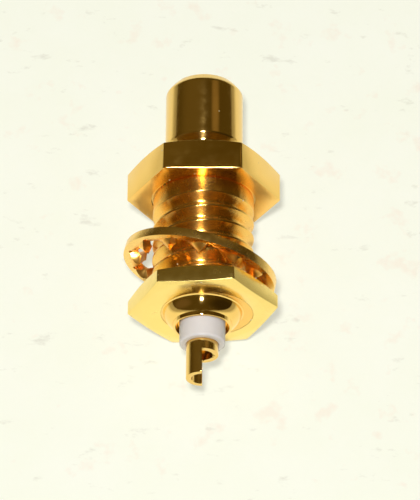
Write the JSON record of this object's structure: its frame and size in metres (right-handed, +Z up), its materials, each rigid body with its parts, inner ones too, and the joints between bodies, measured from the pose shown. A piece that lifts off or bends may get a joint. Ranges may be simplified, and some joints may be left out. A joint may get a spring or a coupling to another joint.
{
  "type": "coaxial bulkhead jack",
  "caption": "Push-on coaxial bulkhead jack with a hex flange, a threaded shank, an internal-tooth lock washer, a hex nut and a centre contact with a solder pot.",
  "frame": {"origin": "on the jack's axis, in the plane of the hex flange's rear face, which seats on the panel", "axes": "+Y along the axis towards the mating end, +Z up through two opposite flats of the hex flange, +X towards a corner of the flange"},
  "size_m": [0.0075, 0.0157, 0.0074],
  "materials": {
    "gold_body": "gold plated, bright as turned",
    "gold_nut": "gold plated, bright as turned",
    "gold_washer": "gold plated, satin as stamped",
    "gold_contact": "gold plated, bright",
    "ptfe": "machined PTFE, satin"
  },
  "bodies": {
    "jack": {"connector_body": "gold_body", "front_insulator": "ptfe", "rear_insulator": "ptfe", "centre_contact": "gold_contact"},
    "washer": {"lock_washer": "gold_washer"},
    "nut": {"hex_nut": "gold_nut"}
  },
  "joints": [
    {"name": "washer_travel", "type": "slide", "parent": "jack", "child": "washer", "axis": [0, 1, 0], "range_m": [-0.00099, 0.00238]},
    {"name": "nut_turn", "type": "hinge", "parent": "washer", "child": "nut", "pos_m": [0, 0, 0], "axis": [0, 1, 0], "range_deg": [-450, 1080]}
  ],
  "couplings": [
    {"joint": "nut_turn", "follows": "washer_travel", "rad_per_m": 7915.8}
  ]
}
